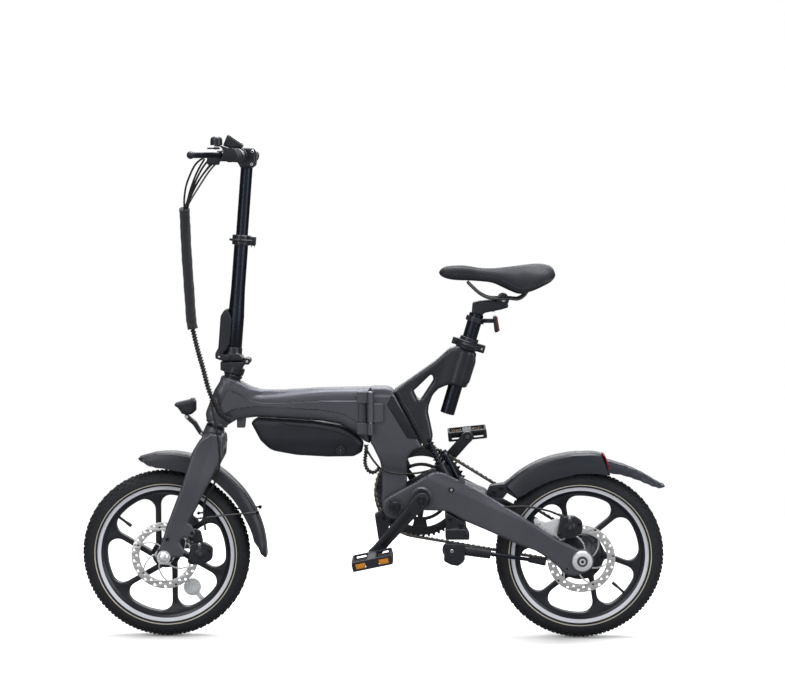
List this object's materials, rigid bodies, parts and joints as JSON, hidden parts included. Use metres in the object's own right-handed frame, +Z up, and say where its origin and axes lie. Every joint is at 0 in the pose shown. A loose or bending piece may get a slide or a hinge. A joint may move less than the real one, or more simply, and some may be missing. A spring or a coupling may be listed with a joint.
{
  "type": "folding bicycle",
  "caption": "Folding electric bicycle with cast frame halves on a side hinge, spoked wheels, a telescoping folding handlebar post, under-tube battery and sprung swingarm.",
  "frame": {"origin": "middle of the whole bicycle, on the surface that the tyres stand on", "axes": "-X forward, +Z up, -Y the left side with the frame hinge and kickstand"},
  "size_m": [1.3905, 0.58, 1.1914],
  "materials": {
    "frame_grey": "satin",
    "black_paint": "satin",
    "black_plastic": "matte",
    "rubber": "matte",
    "tyre": "matte",
    "steel": "brushed",
    "dark_steel": "satin",
    "silver": "machined",
    "saddle_cover": "matte",
    "cable": "matte",
    "red_lens": "gloss",
    "clear_lens": "gloss"
  },
  "bodies": {
    "rear_frame": {"rear_frame": "frame_grey", "seat_mast": "black_paint", "frame_pins": "dark_steel", "parking_foot": "black_plastic", "seat_collar": "black_paint", "frame_cables": "cable"},
    "seat_lever": {"seat_lever": "black_paint"},
    "front_frame": {"front_frame": "frame_grey", "headset": "black_paint"},
    "frame_latch": {"frame_latch": "black_paint"},
    "battery": {"battery": "black_plastic"},
    "fork": {"fork": "frame_grey", "post_base": "black_paint", "front_axle": "dark_steel", "front_fender": "black_plastic", "front_caliper": "black_paint", "light_bracket": "black_paint", "fork_cable": "cable"},
    "headlight": {"headlight": "black_plastic"},
    "front_wheel": {"front_tyre": "tyre", "front_rim": "black_paint", "front_rotor": "steel", "wheel_reflector": "clear_lens"},
    "handlepost": {"handlepost": "black_paint", "post_collar": "black_paint", "bar_cables": "cable"},
    "post_latch": {"post_latch": "black_plastic"},
    "post_lever": {"post_lever": "black_paint"},
    "upper_post": {"upper_post": "black_paint", "handlebar": "black_paint", "grips": "rubber", "display": "black_plastic", "control_pods": "black_plastic", "bell": "black_paint"},
    "left_brake_lever": {"left_brake_lever": "black_paint"},
    "right_brake_lever": {"right_brake_lever": "black_paint"},
    "bell_striker": {"bell_striker": "black_plastic"},
    "seatpost": {"seatpost": "black_paint", "rear_reflector": "red_lens"},
    "saddle": {"saddle": "saddle_cover", "saddle_rails": "dark_steel"},
    "swingarm": {"swingarm": "frame_grey", "rear_axle": "silver", "rear_caliper": "black_paint", "rear_fender": "black_plastic", "chain": "dark_steel", "kickstand_mount": "black_paint", "brake_cable": "cable"},
    "kickstand": {"kickstand": "black_paint"},
    "crankset": {"crankset": "black_paint", "chainring": "dark_steel"},
    "left_pedal": {"left_pedal": "black_plastic"},
    "right_pedal": {"right_pedal": "black_plastic"},
    "rear_cog": {"rear_cog": "dark_steel"},
    "rear_wheel": {"rear_tyre": "tyre", "rear_rim": "black_paint", "hub_motor": "black_paint", "rear_rotor": "steel"},
    "shock_shaft": {"shock_shaft": "steel"},
    "shock_body": {"shock_body": "black_paint"}
  },
  "joints": [
    {"name": "frame_fold", "type": "hinge", "parent": "rear_frame", "child": "front_frame", "pos_m": [-0.008, -0.0474, 0.54], "axis": [0, 0, 1], "range_deg": [0, 165], "deforming": ["frame_cables"]},
    {"name": "frame_latch_open", "type": "hinge", "parent": "front_frame", "child": "frame_latch", "pos_m": [-0.07, 0.0464, 0.544], "axis": [0, 0, 1], "range_deg": [0, 110]},
    {"name": "battery_release", "type": "slide", "parent": "front_frame", "child": "battery", "axis": [0, 0, -1], "range_m": [0, 0.06]},
    {"name": "steering", "type": "hinge", "parent": "front_frame", "child": "fork", "pos_m": [-0.343, 0, 0.599], "axis": [0.3272, 0, 0.9449], "range_deg": [-45, 45], "deforming": ["bar_cables"]},
    {"name": "headlight_tilt", "type": "hinge", "parent": "fork", "child": "headlight", "pos_m": [-0.444, 0, 0.527], "axis": [0, 1, 0], "range_deg": [-20, 15]},
    {"name": "front_wheel_spin", "type": "hinge", "parent": "fork", "child": "front_wheel", "pos_m": [-0.49492, 0, 0.2], "axis": [0, -1, 0], "continuous": true},
    {"name": "handlebar_fold", "type": "hinge", "parent": "fork", "child": "handlepost", "pos_m": [-0.299, 0, 0.66], "axis": [0, 1, 0], "range_deg": [0, 60]},
    {"name": "post_latch_open", "type": "hinge", "parent": "handlepost", "child": "post_latch", "pos_m": [-0.364, 0, 0.672], "axis": [0, -1, 0], "range_deg": [0, 95]},
    {"name": "post_lever_open", "type": "hinge", "parent": "handlepost", "child": "post_lever", "pos_m": [-0.28459, 0, 0.93096], "axis": [0.0785, 0, 0.9969], "range_deg": [0, 120]},
    {"name": "post_slide", "type": "slide", "parent": "handlepost", "child": "upper_post", "axis": [0.0785, 0, 0.9969], "range_m": [-0.115, 0.04]},
    {"name": "left_brake_squeeze", "type": "hinge", "parent": "upper_post", "child": "left_brake_lever", "pos_m": [-0.34718, -0.138, 1.14251], "axis": [0, 0, 1], "range_deg": [0, 20], "stiffness_Nm_per_rad": 1.5, "springref_deg": -11.46},
    {"name": "right_brake_squeeze", "type": "hinge", "parent": "upper_post", "child": "right_brake_lever", "pos_m": [-0.34718, 0.138, 1.14251], "axis": [0, 0, -1], "range_deg": [0, 20], "stiffness_Nm_per_rad": 1.5, "springref_deg": -11.46},
    {"name": "bell_ring", "type": "hinge", "parent": "upper_post", "child": "bell_striker", "pos_m": [-0.36018, -0.084, 1.16251], "axis": [0, 0, 1], "range_deg": [0, 30], "stiffness_Nm_per_rad": 0.05, "springref_deg": -17.19},
    {"name": "seat_lever_open", "type": "hinge", "parent": "rear_frame", "child": "seat_lever", "pos_m": [0.24782, 0, 0.68029], "axis": [0.2807, 0, 0.9598], "range_deg": [0, 130]},
    {"name": "seat_height", "type": "slide", "parent": "rear_frame", "child": "seatpost", "axis": [0.2807, 0, 0.9598], "range_m": [-0.02, 0.1]},
    {"name": "saddle_tilt", "type": "hinge", "parent": "seatpost", "child": "saddle", "pos_m": [0.30312, 0, 0.80697], "axis": [0, 1, 0], "range_deg": [-8, 8]},
    {"name": "suspension", "type": "hinge", "parent": "rear_frame", "child": "swingarm", "pos_m": [0.048, 0, 0.319], "axis": [0, -1, 0], "range_deg": [0, 4.5], "stiffness_Nm_per_rad": 2800, "springref_deg": -2.58},
    {"name": "shock_swing", "type": "hinge", "parent": "rear_frame", "child": "shock_shaft", "pos_m": [0.122, 0, 0.481], "axis": [0, -1, 0], "range_deg": [0, 1]},
    {"name": "shock_stroke", "type": "slide", "parent": "shock_shaft", "child": "shock_body", "axis": [-0.4472, 0, 0.8944], "range_m": [0, 0.012]},
    {"name": "kickstand_fold", "type": "hinge", "parent": "swingarm", "child": "kickstand", "pos_m": [0.178, -0.058, 0.224], "axis": [0, 0.936, -0.352], "range_deg": [0, 82]},
    {"name": "crank_spin", "type": "hinge", "parent": "swingarm", "child": "crankset", "pos_m": [0.111, 0, 0.341], "axis": [0, -1, 0], "continuous": true},
    {"name": "left_pedal_spin", "type": "hinge", "parent": "crankset", "child": "left_pedal", "pos_m": [-0.00052, -0.12, 0.21265], "axis": [0, -1, 0], "continuous": true},
    {"name": "right_pedal_spin", "type": "hinge", "parent": "crankset", "child": "right_pedal", "pos_m": [0.22252, 0.12, 0.46935], "axis": [0, -1, 0], "continuous": true},
    {"name": "rear_cog_spin", "type": "hinge", "parent": "swingarm", "child": "rear_cog", "pos_m": [0.487, 0.045, 0.2], "axis": [0, -1, 0], "continuous": true},
    {"name": "rear_wheel_spin", "type": "hinge", "parent": "swingarm", "child": "rear_wheel", "pos_m": [0.487, 0, 0.2], "axis": [0, -1, 0], "continuous": true}
  ],
  "couplings": [
    {"joint": "crank_spin", "follows": "rear_cog_spin", "ratio": 0.2963},
    {"joint": "shock_swing", "follows": "suspension", "ratio": 0.1369},
    {"joint": "shock_stroke", "follows": "suspension", "m_per_rad": 0.1393}
  ]
}
